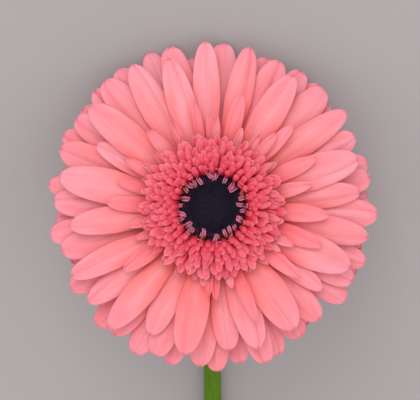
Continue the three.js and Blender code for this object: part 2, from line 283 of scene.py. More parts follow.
# ---- Materials ----
class Look:
    """A Principled material and the nodes that feed it."""

    def __init__(self, name, roughness, specular, subsurface=0.0, depth=0.001, sheen=0.0, tint=(1, 1, 1)):
        self.material = bpy.data.materials.new(name)
        self.material.use_nodes = True
        self.tree = self.material.node_tree
        self.shader = self.tree.nodes["Principled BSDF"]
        settings = {
            "Roughness": roughness, "Specular IOR Level": specular, "Subsurface Weight": subsurface,
            "Subsurface Radius": (1.0, 0.4, 0.3), "Subsurface Scale": depth, "Sheen Weight": sheen,
            "Sheen Roughness": 0.5, "Sheen Tint": (*tint, 1),
        }
        for socket, value in settings.items():
            self.shader.inputs[socket].default_value = value

    def link(self, source, socket):
        """Feeds a socket from another node, or sets it to a number or a colour."""
        if isinstance(source, bpy.types.NodeSocket):
            self.tree.links.new(source, socket)
        else:
            socket.default_value = (*source, 1) if isinstance(source, tuple) else source

    def layer(self, name):
        """A number that the mesh holds at each point."""
        node = self.tree.nodes.new("ShaderNodeAttribute")
        node.attribute_name = name
        return node.outputs["Fac"]

    def math(self, operation, a, b=0.0):
        node = self.tree.nodes.new("ShaderNodeMath")
        node.operation = operation
        self.link(a, node.inputs[0])
        self.link(b, node.inputs[1])
        return node.outputs[0]

    def step(self, value, low, high, to_low=0.0, to_high=1.0):
        """value from low to high, eased and drawn out to to_low to to_high."""
        node = self.tree.nodes.new("ShaderNodeMapRange")
        node.interpolation_type = "SMOOTHSTEP"
        self.link(value, node.inputs["Value"])
        for name, number in (("From Min", low), ("From Max", high), ("To Min", to_low), ("To Max", to_high)):
            node.inputs[name].default_value = number
        return node.outputs["Result"]

    def vector(self, x, y, z):
        node = self.tree.nodes.new("ShaderNodeCombineXYZ")
        for i, value in enumerate((x, y, z)):
            self.link(value, node.inputs[i])
        return node.outputs[0]

    def place(self):
        """The place in the object's own metres."""
        return self.tree.nodes.new("ShaderNodeTexCoord").outputs["Object"]

    def noise(self, vector, scale, detail=3.0):
        node = self.tree.nodes.new("ShaderNodeTexNoise")
        self.link(vector, node.inputs["Vector"])
        node.inputs["Scale"].default_value = scale
        node.inputs["Detail"].default_value = detail
        node.inputs["Roughness"].default_value = 0.55
        return node.outputs["Fac"]

    def ramp(self, value, *stops):
        """Colour stops are (position, (red, green, blue))."""
        node = self.tree.nodes.new("ShaderNodeValToRGB")
        self.link(value, node.inputs[0])
        elements = node.color_ramp.elements
        while len(elements) < len(stops):
            elements.new(0.5)
        for element, (position, colour) in zip(elements, stops):
            element.position = position
            element.color = (*colour, 1)
        return node.outputs["Color"]

    def mix(self, share, a, b):
        """Colour a, with a share of colour b."""
        node = self.tree.nodes.new("ShaderNodeMix")
        node.data_type = "RGBA"
        self.link(share, node.inputs[0])
        self.link(a, node.inputs[6])
        self.link(b, node.inputs[7])
        return node.outputs[2]

    def bump(self, height, depth, strength):
        node = self.tree.nodes.new("ShaderNodeBump")
        node.inputs["Strength"].default_value = strength
        node.inputs["Distance"].default_value = depth
        self.link(height, node.inputs["Height"])
        self.tree.links.new(node.outputs[0], self.shader.inputs["Normal"])

    def colour(self, source):
        self.link(source, self.shader.inputs["Base Color"])

    def roughness(self, source):
        self.link(source, self.shader.inputs["Roughness"])


VEIN_AT = 0.38  # where the two main veins run, as a share of the half width
UNDERSIDE = (0.86, 0.46, 0.42)


def floret_look(name, stops, pale, deep, fold, painted_shade, rim, rim_share, rim_from=0.975):
    """The skin of a floret: colour along it, streaks and veins down it, painted shade along its fold and down its
    covered sides, a rim at its tip, a paler underside.
    """
    look = Look(name, roughness=0.55, specular=0.2, subsurface=0.2, depth=0.0008)
    along, across, tone, under = (look.layer(n) for n in ("along", "across", "tone", "under"))
    side = look.math("ABSOLUTE", across)
    own = look.math("MULTIPLY", tone, 37.0)  # so that no two florets share a pattern

    def grain(across_scale, along_scale, detail=3.0):
        """Noise drawn out along the floret."""
        x, y = look.math("MULTIPLY", across, across_scale), look.math("MULTIPLY", along, along_scale)
        return look.noise(look.vector(x, y, own), 1.0, detail)

    colour = look.ramp(along, *stops)
    # Each floret is a little paler or deeper than the next, at random and by the painted light and shade in its
    # tone.
    colour = look.mix(look.step(tone, 0.45, 1.0, 0, 0.4), colour, pale)
    colour = look.mix(look.step(tone, 0.5, 0.0, 0, 0.35), colour, deep)
    # Broad clouds and fine streaks run down its length.
    clouds = grain(1.3, 2.6)
    colour = look.mix(look.step(clouds, 0.45, 0.7, 0, 0.35), colour, deep)
    colour = look.mix(look.step(clouds, 0.48, 0.3, 0, 0.35), colour, pale)
    streaks = grain(11.0, 1.6, 4)
    colour = look.mix(look.step(streaks, 0.48, 0.72, 0, 0.25), colour, deep)
    # Its two main veins.
    vein = look.math("ABSOLUTE", look.math("SUBTRACT", side, VEIN_AT))
    vein_share = look.math("MULTIPLY", look.step(vein, 0.045, 0.0, 0, 0.3), look.step(along, 0.08, 0.3))
    colour = look.mix(vein_share, colour, deep)
    # Painted shade along the line of its fold, down to its tip.
    line = look.step(look.math("ABSOLUTE", look.layer("crease")), 0.14, 0.0)
    folded = look.math("MULTIPLY", look.math("MULTIPLY", line, look.layer("fold")), look.step(along, 0.3, 0.9))
    colour = look.mix(look.math("MULTIPLY", folded, 0.4), colour, fold)
    # Painted shade down its sides, where its neighbours cover it: coral, like the light they pass and throw onto
    # it.
    painted_shade_share = look.math("MULTIPLY", look.step(side, 0.25, 1.0), look.step(along, 0.9, 0.35))
    colour = look.mix(look.math("MULTIPLY", painted_shade_share, look.layer("shaded")), colour, painted_shade)
    # A thin darker rim round its tip.
    tip_rim = look.step(along, rim_from, 1.0, 0, rim_share)
    side_rim = look.math("MULTIPLY", look.step(side, 0.91, 1.0, 0, rim_share), look.step(along, 0.7, 0.98))
    colour = look.mix(look.math("MAXIMUM", tip_rim, side_rim), colour, rim)
    colour = look.mix(look.math("MULTIPLY", under, 0.45), colour, UNDERSIDE)
    look.colour(colour)
    cells = look.noise(look.place(), 5200.0, 2)
    look.bump(look.math("ADD", grain(26.0, 3.0), look.math("MULTIPLY", cells, 0.35)), 0.00012, 0.5)
    look.roughness(look.step(streaks, 0.3, 0.7, 0.62, 0.48))
    return look.material


# Colours of the florets: down their length, then what each look mixes in. The fold colour and the coral colour
# of covered sides are painted shade.
FLORET_COLOURS = {
    "ray_petal": dict(
        # Deeper red towards the claw: partly the petal's own colour, partly painted shade under the crown and its
        # neighbours.
        stops=(
            (0.0, (0.7, 0.03, 0.035)), (0.2, (0.91, 0.16, 0.155)), (0.42, (0.92, 0.25, 0.255)),
            (0.75, (0.915, 0.29, 0.325)), (1.0, (0.9, 0.295, 0.355)),
        ),
        pale=(0.92, 0.4, 0.475), deep=(0.89, 0.18, 0.19), fold=(0.66, 0.15, 0.2), painted_shade=(0.92, 0.095, 0.085),
        rim=(0.6, 0.16, 0.24), rim_share=0.55,
    ),
    "trans_petal": dict(
        # Deeper red towards the claw: partly their own colour, partly painted shade under the crown and the rays.
        stops=(
            (0.0, (0.68, 0.025, 0.035)), (0.35, (0.92, 0.145, 0.155)), (0.7, (0.94, 0.24, 0.27)),
            (1.0, (0.93, 0.265, 0.32)),
        ),
        pale=(0.95, 0.355, 0.4), deep=(0.89, 0.14, 0.165), fold=(0.72, 0.12, 0.17), painted_shade=(0.93, 0.12, 0.11),
        rim=(0.75, 0.22, 0.28), rim_share=0.35,
    ),
    "inner_petal": dict(
        # The deep crimson towards their roots is painted shade between the close rows.
        stops=(
            (0.0, (0.5, 0.012, 0.035)), (0.45, (0.66, 0.026, 0.065)), (0.7, (0.74, 0.055, 0.1)),
            (0.86, (0.87, 0.125, 0.172)), (1.0, (0.95, 0.25, 0.3)),
        ),
        pale=(0.98, 0.26, 0.315), deep=(0.62, 0.045, 0.09), fold=(0.8, 0.06, 0.1), painted_shade=(0.85, 0.05, 0.07),
        rim=(1.0, 0.45, 0.5), rim_share=0.65, rim_from=0.955,
    ),
}


def lip_look():
    """Lips of the open disc florets: mauve, with painted highlights along their edges and tips."""
    look = Look("style", roughness=0.45, specular=0.3, subsurface=0.25, depth=0.0006)
    along, side, tone = look.layer("along"), look.math("ABSOLUTE", look.layer("across")), look.layer("tone")
    stops = (0.0, (0.05, 0.005, 0.02)), (0.4, (0.26, 0.035, 0.085)), (1.0, (0.45, 0.08, 0.17))
    colour = look.ramp(along, *stops)
    colour = look.mix(look.step(tone, 0.4, 1.0, 0, 0.6), colour, (0.6, 0.13, 0.22))
    # Painted highlights: pale along their edges and round their tips.
    edge = look.math("MAXIMUM", look.step(side, 0.55, 0.95, 0, 0.85), look.step(along, 0.88, 1.0, 0, 0.7))
    colour = look.mix(look.math("MULTIPLY", edge, look.step(along, 0.3, 0.6)), colour, (0.8, 0.27, 0.42))
    look.colour(colour)
    look.bump(look.noise(look.place(), 3500.0, 3), 0.0001, 0.5)
    return look.material


def anther_look():
    """Anther tubes, orange to yellow, with a dark mouth and dusted with pollen."""
    look = Look("anther", roughness=0.7, specular=0.2, subsurface=0.15, depth=0.0005)
    along = look.layer("along")
    colour = look.ramp(
        along, (0.0, (0.12, 0.03, 0.02)), (0.35, (0.42, 0.11, 0.02)), (0.8, (0.56, 0.19, 0.04)),
        (1.0, (0.26, 0.08, 0.035)),
    )
    dust = look.noise(look.place(), 4200.0, 2)
    look.colour(look.mix(look.step(dust, 0.55, 0.68, 0, 0.4), colour, (0.74, 0.4, 0.11)))
    look.bump(dust, 0.00015, 0.8)
    return look.material


def stigma_look():
    look = Look("stigma", roughness=0.4, specular=0.4, subsurface=0.4, depth=0.0005)
    fleck = look.noise(look.place(), 2600.0, 2)
    look.colour(look.mix(look.step(fleck, 0.4, 0.65), (0.5, 0.2, 0.32), (0.68, 0.4, 0.48)))
    look.bump(fleck, 0.0001, 0.6)
    return look.material


def bud_look():
    """Closed buds of the disc: dusky, almost black, with purple tips towards the edge."""
    look = Look("disc_bud", roughness=0.65, specular=0.15)
    along, tip, tone = look.layer("along"), look.layer("tip"), look.layer("tone")
    colour = look.ramp(tone, (0.0, (0.012, 0.0097, 0.022)), (1.0, (0.022, 0.018, 0.036)))
    rim = look.math("MULTIPLY", look.step(along, 0.6, 0.88), look.step(tip, 0.7, 0.98, 0, 0.95))
    rim = look.math("MULTIPLY", rim, look.step(tone, 0.2, 0.8, 0.35, 1.0))
    colour = look.mix(rim, colour, (0.34, 0.085, 0.19))
    grain = look.noise(look.place(), 6000.0, 2)
    look.colour(look.mix(look.step(grain, 0.5, 0.75, 0, 0.4), colour, (0.04, 0.033, 0.06)))
    look.bump(grain, 0.0001, 0.6)
    return look.material


def green_look(name, dark, light, tip, veins):
    """Downy green skin with lengthwise veins."""
    look = Look(
        name, roughness=0.6, specular=0.12, subsurface=0.15, depth=0.001, sheen=0.03, tint=(0.85, 0.95, 0.7))
    along, across, tone = look.layer("along"), look.layer("across"), look.layer("tone")
    own = look.math("MULTIPLY", tone, 23.0)
    place = look.vector(look.math("MULTIPLY", across, veins), look.math("MULTIPLY", along, 5.0), own)
    lines = look.noise(place, 1.0)
    mottle = look.noise(look.place(), 420.0, 4)
    colour = look.mix(look.step(lines, 0.3, 0.7, 0.15, 0.7), dark, light)
    colour = look.mix(look.step(mottle, 0.5, 0.75, 0, 0.35), colour, light)
    colour = look.mix(look.step(along, 0.8, 1.0, 0, 0.6), colour, tip)
    look.colour(colour)
    grain = look.noise(look.place(), 3200.0, 3)
    look.bump(look.math("ADD", look.math("MULTIPLY", lines, 1.4), grain), 0.00018, 0.6)
    look.roughness(look.step(grain, 0.3, 0.7, 0.5, 0.7))
    return look.material


def cut_look():
    """The cut through the stem: a wet green skin around paler pith with vessels in it."""
    look = Look("stem_cut", roughness=0.35, specular=0.5, subsurface=0.3, depth=0.0015)
    out = look.layer("across")
    vessels = look.noise(look.place(), 1900.0, 2)
    colour = look.ramp(
        out, (0.1, (0.09, 0.12, 0.03)), (0.22, (0.3, 0.38, 0.13)), (0.45, (0.46, 0.55, 0.26)),
        (0.78, (0.36, 0.47, 0.17)), (0.96, (0.09, 0.2, 0.02)),
    )
    look.colour(look.mix(look.step(vessels, 0.56, 0.66, 0, 0.55), colour, (0.14, 0.22, 0.05)))
    look.bump(vessels, 0.0002, 0.7)
    return look.material


def down_look():
    look = Look("down", roughness=0.7, specular=0.2, subsurface=0.5, depth=0.0005)
    pale = look.noise(look.place(), 900.0, 2)
    look.colour(look.mix(look.step(pale, 0.35, 0.65), (0.3, 0.47, 0.05), (0.54, 0.66, 0.2)))
    return look.material


def floor_look():
    look = Look("floor", roughness=0.85, specular=0.1)
    grain = look.noise(look.place(), 6.0, 4)
    look.colour(look.mix(look.step(grain, 0.3, 0.7), (0.403, 0.373, 0.373), (0.411, 0.381, 0.381)))
    return look.material


# ---- Ray and trans florets ----
def level_height(level, radius):
    """How high a floret of a level lies at a radius: it leaves its claw, arches over and drops to the rim."""
    out = (radius - CLAW_RADIUS) / (HEAD_RADIUS - CLAW_RADIUS)
    claw, rim = CLAW_STEP * (level - LEVELS), RIM_HEIGHT + RIM_STEP * level
    return lerp(claw, rim, out) + ARCH * np.sin(math.pi * out)


FULLNESS = 1.03  # how much wider than the CAD's florets these are, to make up for their round tips
PAINTED_LIGHT_SIDE = 20  # the azimuth that the painted light falls on, where florets are painted palest
HANG_ROUNDING, HANG_START = 1.5, 1.22  # a side hangs straight, but for a rounding at the middle


def half_width(along, reach, span, widest, tip_share, bluntness):
    """Half the width of a floret: its span up to its widest, then a round tip."""
    filled = lerp(CLAW_RADIUS, reach, np.minimum(along, widest)) * math.tan(math.radians(span / 2)) * FULLNESS
    past = np.clip((along - widest) / (1 - widest), 0, 1)
    return filled * np.maximum(tip_share, (1 - past**bluntness) ** (1 / bluntness))


def add_floret(pile, azimuth, reach, span, level, kind):
    """One strap: grooved, cupped, sometimes pleated, its tip bent and cut into small teeth."""
    n, m = kind["steps"]
    along = 1 - (1 - np.linspace(0, 1, n)) ** 1.5
    across = np.sin(np.linspace(-1, 1, m) * math.pi / 2) * 0.35 + np.linspace(-1, 1, m) * 0.65
    u, w = np.meshgrid(along, across, indexing="ij")
    bluntness = kind["bluntness"] * random.uniform(0.94, 1.08)
    half = half_width(u, reach, span, kind["widest"], kind["tip_share"], bluntness)
    open_share = 0.35 + 0.65 * u  # neighbours are closest at the claws
    teeth = kind["teeth"] * (0.5 - 0.5 * np.cos(3 * math.pi * w)) * smooth(u, 0.9, 1)
    radius = lerp(CLAW_RADIUS, reach, u) + teeth * random.uniform(-1, 0.2)
    side = w * half + random.uniform(-0.35, 0.35) * np.sin(math.pi * u)
    hang = EDGE_SLOPE * (np.sqrt(side**2 + HANG_ROUNDING) - HANG_START) * u
    body = smooth(u, 0.02, 0.2) * (1 - smooth(u, 0.85, 1.0))
    groove = -kind["groove"] * np.exp(-(((np.abs(w) - VEIN_AT) / 0.15) ** 2)) * body
    cup = random.uniform(*kind["cup"]) * (w**2 - 0.3) * open_share
    twist = random.uniform(0.05, 0.5) * w * open_share
    pleat_at = random.uniform(-0.5, 0.5) * (1 - 0.4 * u**2)
    creased = smooth(u, 0.08, 0.4) * (1 - 0.4 * smooth(u, 0.9, 1.0)) * open_share
    pleat_depth = random.choice(kind["pleats"])
    pleat = pleat_depth * np.exp(-(((w - pleat_at) / 0.2) ** 2)) * creased
    ripple = random.uniform(0.05, 0.3) * np.abs(w) ** 3 * u
    ripple = ripple * np.sin(2 * math.pi * (random.uniform(1.2, 2.4) * u + random.uniform(0, 1)) + w)
    bend = -random.uniform(*kind["bend"]) * smooth(u, 0.8, 1.05) ** 1.5
    lift = random.uniform(-0.18, 0.18) * open_share + kind["lift"] * u**2
    height = level_height(level, radius) - hang + groove + cup + twist + pleat + ripple + bend + lift
    thickness = 0.12 + kind["thickness"] * (1 - np.abs(w) ** 6) * (1 - 0.6 * u**8)
    grid = radius[..., None] * outward(azimuth) + side[..., None] * sideways(azimuth)
    grid[..., 2] += height
    fold = min(1, abs(pleat_depth) * kind["fold_shade"])
    # A random share, plus painted light: florets are painted paler towards the side that the light falls on.
    tone = random.uniform(0, 0.65) + 0.35 * (0.5 + 0.5 * math.cos(math.radians(azimuth - PAINTED_LIGHT_SIDE)))
    add_sheet(pile, grid, thickness, along, across, tone, w - pleat_at, fold, kind["shaded"])


# How florets are made: the steps of their grid, their outline, the depth of their teeth and grooves, how strongly
# painted shade colours their folds and covered sides, and what their pleats, cups and bends range over.
RAY = dict(
    steps=(46, 25), widest=0.65, tip_share=0.13, bluntness=2.75, teeth=0.6, groove=0.18,
    fold_shade=1.3, shaded=0.9, pleats=(0, -0.75, -0.6, -0.45, 0.45), cup=(-0.55, 0.6), bend=(-0.2, 1.5),
    lift=0.0, thickness=0.26,
)
FRONT_RAY = {**RAY, "widest": 0.57, "tip_share": 0.1, "bluntness": 2.3, "shaded": 0.5}
TRANS = dict(
    steps=(30, 17), widest=0.6, tip_share=0.07, bluntness=1.9, teeth=0.4, groove=0.08,
    fold_shade=1.5, shaded=0.6, pleats=(0, -0.35, -0.25), cup=(0.1, 1.0), bend=(-0.9, 0.8),
    lift=0.5, thickness=0.3,
)


def make_rays(material):
    """Each front and middle floret is a piece of its own, and those at the back are one."""
    for row in ("front", "middle"):
        placed = [(f, level) for r, level, florets in RAY_LEVELS if r == row for f in florets]
        placed.sort(key=lambda entry: entry[0][0])
        for number, ((azimuth, short, span), level) in enumerate(placed, 1):
            pile = Pile()
            add_floret(pile, azimuth, HEAD_RADIUS - short, span, level, FRONT_RAY if row == "front" else RAY)
            pile.piece(f"{row}_petal_{number:02}", f"ray_{row}_{number:02}", "ray_petal", material)
    pile = Pile()
    for row, level, florets in RAY_LEVELS:
        if row == "back":
            for azimuth, short, span in florets:
                add_floret(pile, azimuth, HEAD_RADIUS - short, span, level, RAY)
    pile.piece("back_petals", "back_ray_florets", "ray_petal", material)


def make_trans(material):
    pile = Pile()
    for level, florets in TRANS_LEVELS:
        for azimuth, short, span in florets:
            add_floret(pile, azimuth, TRANS_RADIUS - short, span, level, TRANS)
    pile.piece("trans_petals", "trans_florets", "trans_petal", material)


# ---- Small florets ----
def curve_through(points, n):
    """n points along a smooth curve through a few."""
    p = np.array(points, float)
    ends = np.vstack([2 * p[0] - p[1], p, 2 * p[-1] - p[-2]])
    out = []
    for t in np.linspace(0, len(p) - 1, n):
        i = min(int(t), len(p) - 2)
        f = t - i
        a, b, c, d = ends[i : i + 4]
        square, cube = 2 * a - 5 * b + 4 * c - d, 3 * b - a - 3 * c + d
        out.append(0.5 * (2 * b + (c - a) * f + square * f**2 + cube * f**3))
    return np.array(out)


def add_leaf(pile, azimuth, path, half, section, thickness, tone, turn=0.0, lean=0.0):
    """A small leaf whose midline follows (radius, height) points at an azimuth. section is its rise across it, as
    a share of its half width, turn swings its tip sideways, and lean tips it over, both in degrees."""
    n, m = len(path), section.shape[-1]
    along, across = np.linspace(0, 1, n), np.linspace(-1, 1, m)
    tangent = np.gradient(path, axis=0)
    tangent /= np.linalg.norm(tangent, axis=1, keepdims=True)
    way = outward(azimuth)
    side = sideways(azimuth) * math.copysign(1, path[-1][0] - path[0][0])
    centre = path[:, :1] * way + path[:, 1:] * np.array([0, 0, 1.0])
    ahead = tangent[:, :1] * way + tangent[:, 1:] * np.array([0, 0, 1.0])
    swing = math.sin(math.radians(turn)) * along**2 * np.ptp(path[:, 0])
    centre = centre + swing[:, None] * side
    up = np.cross(ahead, side)
    c, s = math.cos(math.radians(lean)), math.sin(math.radians(lean))
    side, up = c * side + s * up, c * up - s * side
    width = half[:, None] * across[None, :]
    rise = half[:, None] * section
    grid = centre[:, None] + width[..., None] * side[:, None] + rise[..., None] * up[:, None]
    add_sheet(pile, grid, thickness, along, across, tone)


def tongue_width(n, root, widest, tip, bluntness):
    """The width at n points down a tongue, as a share of its widest."""
    v = np.linspace(0, 1, n)
    past = np.clip((v - widest) / (1 - widest), 0, 1)
    swelling = root + (1 - root) * smooth(v, 0, widest)
    return swelling * np.maximum(tip, (1 - past**bluntness) ** (1 / bluntness))


# Rows of small florets, from the disc outwards: the CAD node they belong to, how many, the radius and height of
# their tips, half their width, and how round they are, from 0, a flat scale, to 1, a bead.
CROWN_ROWS = [
    ("inner_florets_inner", 29, 13.4, 9.2, 1.02, 1.0),
    ("inner_florets_inner", 33, 14.9, 9.35, 1.02, 0.8),
    ("inner_florets_middle", 37, 16.4, 9.25, 1.04, 0.62),
    ("inner_florets_middle", 41, 17.9, 8.9, 1.08, 0.45),
    ("inner_florets_outer", 44, 19.4, 8.35, 1.12, 0.3),
    ("inner_florets_outer", 47, 21.0, 7.6, 1.18, 0.16),
    ("inner_florets_outer", 48, 22.6, 6.8, 1.24, 0.05),
    ("inner_florets_outer", 44, 24.3, 6.0, 1.3, 0.0),
]


def add_small_floret(pile, azimuth, tip_radius, tip_height, half, roundness):
    """One tongue that rises from beside the disc and bends outwards to its tip."""
    n, m = 14, 9
    root = (11.3 + 0.3 * (1 - roundness), 2.0 + 2.0 * roundness)
    knee = (lerp(root[0], tip_radius, 0.3), lerp(root[1], tip_height, 0.72))
    shoulder = (lerp(root[0], tip_radius, 0.72), tip_height + lerp(0.35, 0.1, roundness))
    path = curve_through([root, knee, shoulder, (tip_radius, tip_height)], n)
    w = np.linspace(-1, 1, m)
    bead = 0.75 * np.sqrt(np.maximum(0, 1 - w**2)) - 0.2
    scale = 0.3 * np.abs(w) ** 1.5 - 0.12 * np.exp(-((w / 0.25) ** 2))
    section = np.tile(lerp(scale, bead, roundness), (n, 1))
    width = half * tongue_width(n, 0.45, 0.74, 0.12, lerp(2.0, 2.5, roundness))
    edge = 1 - np.abs(w) ** 4
    thickness = 0.14 + (0.25 + 0.35 * roundness) * np.tile(edge, (n, 1))
    # A random tone, deeper for the rounder inner rows: partly painted shade deep in the crown, partly their own
    # duskier colour.
    tone = random.uniform(0, 1) * (1 - 0.6 * roundness)
    turn, lean = random.normal(0, 5), random.normal(0, 9)
    add_leaf(pile, azimuth, path, width, section, thickness, tone, turn, lean)


def make_crown(material):
    """Each ring of small florets is a piece."""
    piles = {}
    for row, (node, count, radius, height, half, roundness) in enumerate(CROWN_ROWS):
        pile = piles.setdefault(node, Pile())
        for k in range(count):
            azimuth = 360 * (k + 0.5 * (row % 2)) / count + random.normal(0, 0.11) * 360 / count
            reach = radius + random.normal(0, 0.32)
            size = half * random.uniform(0.9, 1.1)
            add_small_floret(pile, azimuth, reach, height + random.normal(0, 0.25), size, roundness)
    for node, pile in piles.items():
        pile.piece(node.replace("inner_florets", "crown"), node, "inner_petal", material)


# ---- Open disc florets ----
OPEN_COUNT = 30
LIP_FOOT = 7.2  # how high the anther tubes and stigmas start
ANTHER_SHARE = 0.85  # how many open florets show an anther tube
STIGMA_SHARE = 0.55  # how many show a forked stigma
ANTHER_RADII = 0.27 * np.array([0.7, 0.9, 1.0, 1.05, 1.05, 1.0, 0.9, 0.7, 0.3])
STIGMA_RADII = np.linspace(0.12, 0.19, 10)


def add_lip(pile, azimuth, radius, length, half):
    """A channelled lip that rises beside the disc, arches over it and nods at its round end."""
    n, m = 20, 9
    corners = [
        (radius, 4.6), (radius + 0.15, 6.9), (radius - 0.3 * length, 8.1), (radius - 0.75 * length, 7.9),
        (radius - length, 7.0),
    ]
    path = curve_through(corners, n)
    w = np.linspace(-1, 1, m)
    section = np.tile(0.5 * w**2 - 0.2, (n, 1))
    width = half * tongue_width(n, 0.6, 0.55, 0.25, 3.0)
    tone, turn, lean = random.uniform(0, 1), random.normal(0, 18), random.normal(0, 20)
    add_leaf(pile, azimuth, path, width, section, 0.16, tone, turn, lean)


def add_bar(pile, line, radii, sides, tone):
    """A round bar along a line of points in the head's frame."""
    points = bar_points(line, radii, sides)
    along = np.append(np.repeat(np.linspace(0, 1, len(line)), sides), [0, 1])
    pile.add(to_world(points), tube_faces(len(line), sides), along=along, tone=tone)


def make_open_florets(lips, anthers, stigmas):
    """A ring of florets whose lips curl over the disc, with their anther tubes and stigmas."""
    lip_pile, anther_pile, stigma_pile = Pile(), Pile(), Pile()
    for k in range(OPEN_COUNT):
        azimuth = 360 * (k + random.uniform(-0.42, 0.42)) / OPEN_COUNT
        radius = random.uniform(10.4, 12.3)
        add_lip(lip_pile, azimuth, radius, random.uniform(1.5, 3.1), random.uniform(0.5, 0.78))
        way, side = outward(azimuth), sideways(azimuth)
        foot = way * (radius + 0.5) + np.array([0, 0, LIP_FOOT])
        if random.uniform() < ANTHER_SHARE:
            lean = way * random.uniform(-2.5, -1.0) + side * random.uniform(-0.8, 0.8)
            tip = foot + way * 0.4 + lean + np.array([0, 0, random.uniform(1.6, 2.4)])
            line = curve_through([foot, lerp(foot, tip, 0.5) + 0.12 * way, tip], len(ANTHER_RADII))
            add_bar(anther_pile, line, ANTHER_RADII, 8, random.uniform(0, 1))
        if random.uniform() < STIGMA_SHARE:
            start = foot + way * random.uniform(-0.2, 0.9) + side * random.uniform(-0.6, 0.6)
            for sign in (-1, 1):
                tip = start + sign * side * random.uniform(0.25, 0.5)
                tip[2] += random.uniform(2.2, 3.0)
                middle = lerp(start, tip, 0.75) - sign * side * 0.12
                end = tip + sign * side * 0.25 - np.array([0, 0, 0.2])
                line = curve_through([start, middle, tip, end], len(STIGMA_RADII))
                add_bar(stigma_pile, line, STIGMA_RADII, 6, random.uniform(0, 1))
    lip_pile.piece("open_disc_lips", "open_disc_florets", "style", lips)
    anther_pile.piece("anther_tubes", None, "style", anthers)
    stigma_pile.piece("stigmas", None, "style", stigmas)


# ---- The disc's closed buds ----
BUD_FIELD_RADIUS = 11.7
BUD_SPACING = 0.62
BUD_SINK = 0.25  # how deep a bud stands in the dome
BUD_OUTLINE = [(0.0, 0.8), (0.3, 1.0), (0.62, 0.82), (0.88, 0.42)]  # shares of a bud's height and of its girth
GOLDEN_ANGLE = math.pi * (3 - math.sqrt(5))
HEX_PACKING = 0.866  # the area that each of a close-packed field has, for a spacing of 1
DISC_TOP = 4.75
DOME_FOOT_RADIUS = 9.6
DOME_FOOT = 0.6
DOME_DROP = 0.1  # how far the dome stays below the buds' feet


def disc_height(radius):
    """The height of the low dome that the buds stand on, which drops towards its edge."""
    return DISC_TOP - 0.25 * (radius / DISC_RADIUS) ** 2 - smooth(radius, DISC_RADIUS, BUD_FIELD_RADIUS)


def make_disc(material):
    """Buds in the two families of spirals that seeds make, on a low dome."""
    pile = Pile()
    sides = 48
    turn = turns(sides)
    tops = np.linspace(BUD_FIELD_RADIUS, 1.2, 10)
    radii = np.concatenate([[DOME_FOOT_RADIUS, BUD_FIELD_RADIUS], tops])
    heights = np.concatenate([[DOME_FOOT, 2 * DOME_FOOT], disc_height(tops) - DOME_DROP])
    dome = [circle(r, h, turn) for r, h in zip(radii, heights)]
    dome += [np.array([[0, 0, DOME_FOOT]]), np.array([[0, 0, disc_height(0.0) - DOME_DROP]])]
    pile.add(to_world(np.concatenate(dome)), tube_faces(len(radii), sides), along=0.0, tip=0.0, tone=0.0)
    count = int(math.pi * BUD_FIELD_RADIUS**2 / (HEX_PACKING * BUD_SPACING**2))
    bud_sides = 7
    spin = turns(bud_sides)
    faces = tube_faces(len(BUD_OUTLINE), bud_sides)
    for k in range(count):
        radius = BUD_FIELD_RADIUS * math.sqrt((k + 0.5) / count)
        out = radius / BUD_FIELD_RADIUS
        centre = np.array([radius * math.cos(k * GOLDEN_ANGLE), radius * math.sin(k * GOLDEN_ANGLE), 0])
        centre[2] = disc_height(radius) - BUD_SINK
        size = BUD_SPACING * lerp(0.46, 0.56, out) * random.uniform(0.92, 1.08)
        tall = lerp(0.55, 1.15, out**3) * random.uniform(0.85, 1.15)
        lean = centre * 0.02 * out
        points = []
        for part, wide in BUD_OUTLINE:
            points.append(circle(size * wide, 0.0, spin) + centre + lean * part + np.array([0, 0, tall * part]))
        points += [centre[None], (centre + lean + np.array([0, 0, tall]))[None]]
        tip = np.append(np.repeat([part for part, _ in BUD_OUTLINE], bud_sides), [0, 1])
        pile.add(to_world(np.concatenate(points)), faces, along=out, tip=tip, tone=random.uniform(0, 1))
    pile.piece("closed_buds", "disc_buds", "disc_bud", material)


# ---- Receptacle and bracts ----
SHOULDER = CLAW_STEP * -LEVELS - SHOULDER_DROP
GOBLET_BOTTOM = SHOULDER - GOBLET_DEPTH
GOBLET = [
    (NECK_RADIUS + GOBLET_FLARE, GOBLET_BOTTOM + 2 * GOBLET_FLARE),
    (RECEPTACLE_RADIUS - GOBLET_FLARE, lerp(SHOULDER, GOBLET_BOTTOM, 0.4)),
    (RECEPTACLE_RADIUS, SHOULDER),
]


def make_receptacle(material):
    """The goblet that the neck opens into, faintly ribbed."""
    profile = curve_through([(NECK_RADIUS, GOBLET_BOTTOM), *GOBLET, (RECEPTACLE_RADIUS, 0)], 40)
    profile[:, 0] = np.minimum(profile[:, 0], RECEPTACLE_RADIUS)
    sides = 72
    turn = turns(sides)
    ribs = 1 + 0.012 * np.cos(turn * 18)
    points = [circle(r * ribs, h, turn) for r, h in profile]
    points += [np.array([[0, 0, GOBLET_BOTTOM]]), np.array([[0, 0, 0.0]])]
    faces = tube_faces(len(profile), sides)
    along = np.append(np.repeat(np.linspace(0, 0.7, len(profile)), sides), [0, 0.7])
    across = np.append(np.tile(np.abs(np.sin(turn)), len(profile)), [0, 0])
    pile = Pile()
    pile.add(to_world(np.concatenate(points)), faces, along=along, across=across, tone=0.5)
    pile.piece("goblet", "receptacle", "bract", material)


# Rows of bracts, from inside out: the CAD node, how many rows out it lies, how many bracts, how far their tips
# spread past the claws, half their width.
BRACT_ROWS = [
    ("inner_bracts", 0, 24, 6.2, 1.75),
    ("inner_bracts", 0.6, 22, 5.0, 1.7),
    ("outer_bracts", 1, 20, 4.0, 1.75),
    ("outer_bracts", 1.5, 17, 2.2, 1.6),
]


BRACT_STEPS = (22, 9)


